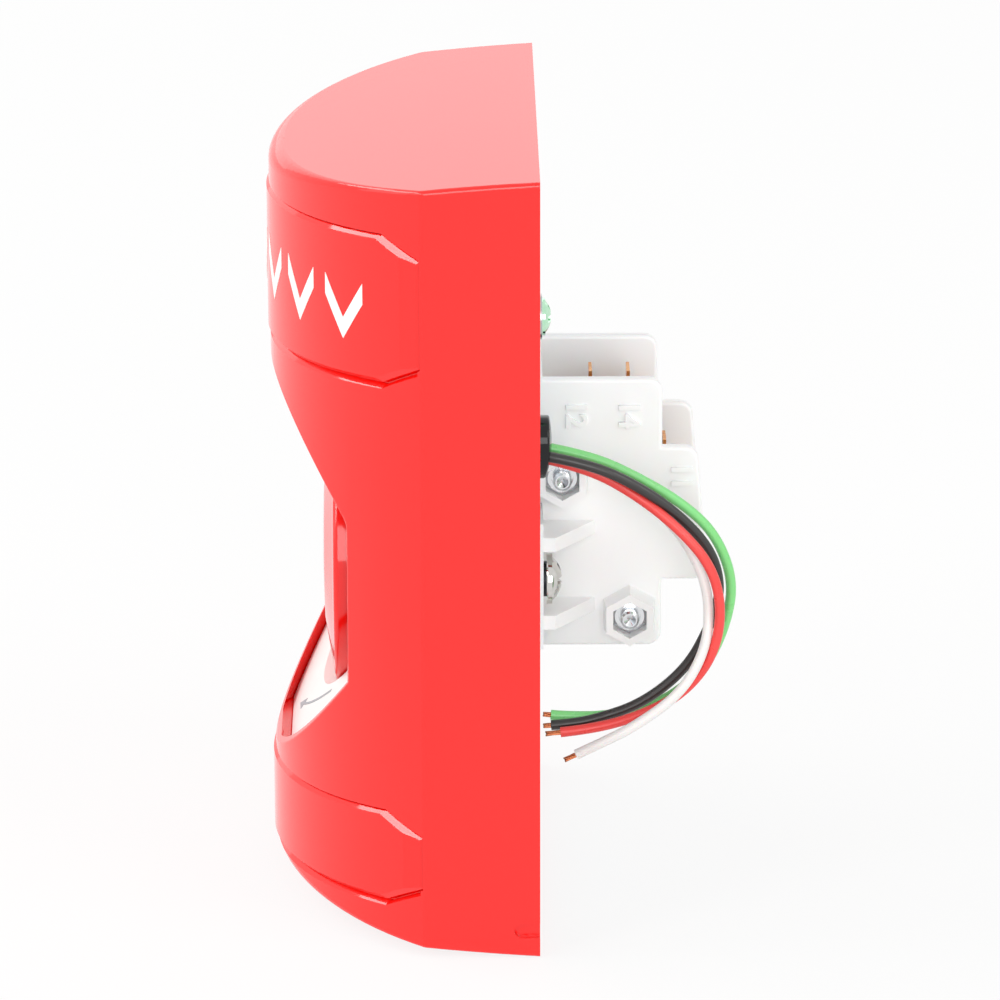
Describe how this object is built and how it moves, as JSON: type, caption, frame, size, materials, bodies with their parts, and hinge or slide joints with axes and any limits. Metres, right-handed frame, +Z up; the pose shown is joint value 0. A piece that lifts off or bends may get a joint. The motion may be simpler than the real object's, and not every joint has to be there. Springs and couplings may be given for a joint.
{
  "type": "emergency push-button station",
  "caption": "Wall-mounted emergency push-button station: bowed housing with a recessed twist-to-reset button, a switch holder behind the wall plane and flying leads.",
  "frame": {"origin": "middle of the wall plane, between the two gang-box screw holes of the mounting plate", "axes": "+Y into the wall, -Y out of the front, +Z up, +X to the right seen from the front"},
  "size_m": [0.083, 0.0705, 0.121],
  "materials": {
    "red_housing": "moulded, polished",
    "red_button": "moulded, polished",
    "white_label": "printed film",
    "white_moulding": "moulded",
    "zinc_steel": "zinc plated",
    "bright_steel": "polished",
    "dark_steel": "black oxide",
    "spring_steel": "drawn",
    "green_paint": "enamelled",
    "plated_steel": "zinc plated",
    "black_rubber": "moulded",
    "black_moulding": "moulded",
    "red_moulding": "moulded",
    "natural_moulding": "moulded",
    "copper_strip": "stamped strip",
    "green_board": "solder mask",
    "clear_lamp": "cast lens",
    "inner_lead_sleeve": "extruded",
    "green_sleeve": "extruded",
    "black_sleeve": "extruded",
    "red_sleeve": "extruded",
    "white_sleeve": "extruded",
    "bare_copper": "stranded"
  },
  "bodies": {
    "station": {"housing": "red_housing", "upper_name_panel": "red_housing", "lower_name_panel": "red_housing", "reset_label": "white_label", "switch_holder": "white_moulding", "mounting_plate": "zinc_steel", "plate_studs": "zinc_steel", "switch_bolts": "zinc_steel", "switch_washers": "zinc_steel", "switch_nuts": "zinc_steel", "bush_nut": "zinc_steel", "near_lever_pin": "zinc_steel", "far_lever_pin": "zinc_steel", "holder_screws": "bright_steel", "holder_washers": "dark_steel", "latch_wire": "spring_steel", "ground_screw": "green_paint", "ground_washer": "plated_steel", "lead_grommet": "black_rubber", "stem_seal": "black_rubber", "near_switch_case": "black_moulding", "far_switch_case": "black_moulding", "near_switch_cover": "black_moulding", "far_switch_cover": "black_moulding", "guide_bush": "black_moulding", "near_closed_terminal": "copper_strip", "near_open_terminal": "copper_strip", "near_common_terminal": "copper_strip", "far_closed_terminal": "copper_strip", "far_open_terminal": "copper_strip", "far_common_terminal": "copper_strip", "lamp_board": "green_board", "lamps": "clear_lamp", "inner_leads": "inner_lead_sleeve", "green_lead": "green_sleeve", "black_lead": "black_sleeve", "red_lead": "red_sleeve", "white_lead": "white_sleeve", "bare_lead_ends": "bare_copper"},
    "plunge": {"button_stem": "natural_moulding", "stem_clip": "dark_steel", "switch_yoke": "natural_moulding", "yoke_screw": "zinc_steel", "return_spring": "spring_steel", "turn_spring": "spring_steel"},
    "button": {"button_cap": "red_button", "cap_stop_pin": "zinc_steel"},
    "near_lever": {"near_switch_lever": "spring_steel"},
    "near_plunger": {"near_switch_plunger": "red_moulding"},
    "near_blade": {"near_contact_blade": "copper_strip"},
    "far_lever": {"far_switch_lever": "spring_steel"},
    "far_plunger": {"far_switch_plunger": "red_moulding"},
    "far_blade": {"far_contact_blade": "copper_strip"}
  },
  "joints": [
    {"name": "button_push", "type": "slide", "parent": "station", "child": "plunge", "axis": [0, 1, 0], "range_m": [0, 0.0045], "stiffness_N_per_m": 1200, "springref_m": -0.004, "deforming": ["return_spring"]},
    {"name": "button_turn", "type": "hinge", "parent": "plunge", "child": "button", "pos_m": [0, -0.0268, -0.008], "axis": [0, 1, 0], "range_deg": [0, 40], "stiffness_Nm_per_rad": 0.05, "springref_deg": -11.46},
    {"name": "near_lever_turn", "type": "hinge", "parent": "station", "child": "near_lever", "pos_m": [0.00515, -0.0006, 0.0074], "axis": [1, 0, 0], "range_deg": [0, 16.31]},
    {"name": "near_plunger_slide", "type": "slide", "parent": "station", "child": "near_plunger", "axis": [0, 1, 0], "range_m": [0, 0.00161]},
    {"name": "near_blade_turn", "type": "hinge", "parent": "station", "child": "near_blade", "pos_m": [0.00515, 0.00972, -0.01255], "axis": [-1, 0, 0], "range_deg": [0, 6.39]},
    {"name": "far_lever_turn", "type": "hinge", "parent": "station", "child": "far_lever", "pos_m": [-0.00515, -0.0006, 0.0074], "axis": [1, 0, 0], "range_deg": [0, 16.31]},
    {"name": "far_plunger_slide", "type": "slide", "parent": "station", "child": "far_plunger", "axis": [0, 1, 0], "range_m": [0, 0.00161]},
    {"name": "far_blade_turn", "type": "hinge", "parent": "station", "child": "far_blade", "pos_m": [-0.00515, 0.00972, -0.01255], "axis": [-1, 0, 0], "range_deg": [0, 6.39]}
  ],
  "couplings": [
    {"joint": "near_lever_turn", "follows": "button_push", "rad_per_m": 63.176},
    {"joint": "near_plunger_slide", "follows": "button_push", "ratio": 0.35714},
    {"joint": "near_blade_turn", "follows": "button_push", "rad_per_m": 24.716},
    {"joint": "far_lever_turn", "follows": "button_push", "rad_per_m": 63.176},
    {"joint": "far_plunger_slide", "follows": "button_push", "ratio": 0.35714},
    {"joint": "far_blade_turn", "follows": "button_push", "rad_per_m": 24.716}
  ]
}
